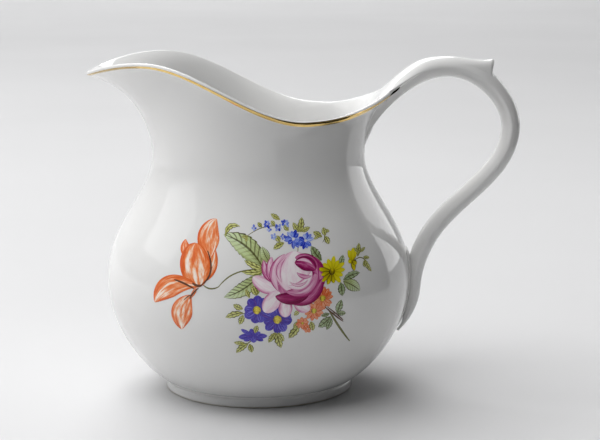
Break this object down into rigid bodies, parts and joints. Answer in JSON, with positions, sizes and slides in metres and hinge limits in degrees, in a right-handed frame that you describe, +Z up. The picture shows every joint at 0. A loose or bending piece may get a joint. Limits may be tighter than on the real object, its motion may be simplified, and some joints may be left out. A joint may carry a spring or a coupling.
{
  "type": "porcelain cream jug",
  "caption": "Pear-shaped glazed porcelain cream jug with a wavy pouring rim, a looped handle with a thumb spur, a gilt rim line and a floral spray.",
  "frame": {"origin": "on the resting plane under the middle of the jug's length, in its plane of symmetry", "axes": "+Z up, +X towards the handle with the spout at -X, the painted side faces -Y"},
  "size_m": [0.1282, 0.0912, 0.0994],
  "materials": {
    "glazed_porcelain": "clear glossy glaze over white hard-paste porcelain",
    "bisque": "unglazed ground foot edge, glazed sides",
    "luting_slip": "fired porcelain slip in the joints, matt",
    "gilding": "burnished fired gold line",
    "enamel_transfer": "overglaze enamel colours, satin gloss"
  },
  "bodies": {
    "root": {"vessel": "glazed_porcelain", "foot_ring": "bisque", "foot_luting_slip": "luting_slip", "handle": "glazed_porcelain", "upper_luting_slip": "luting_slip", "lower_luting_slip": "luting_slip", "gilt_rim_line": "gilding", "floral_transfer": "enamel_transfer"}
  },
  "joints": []
}
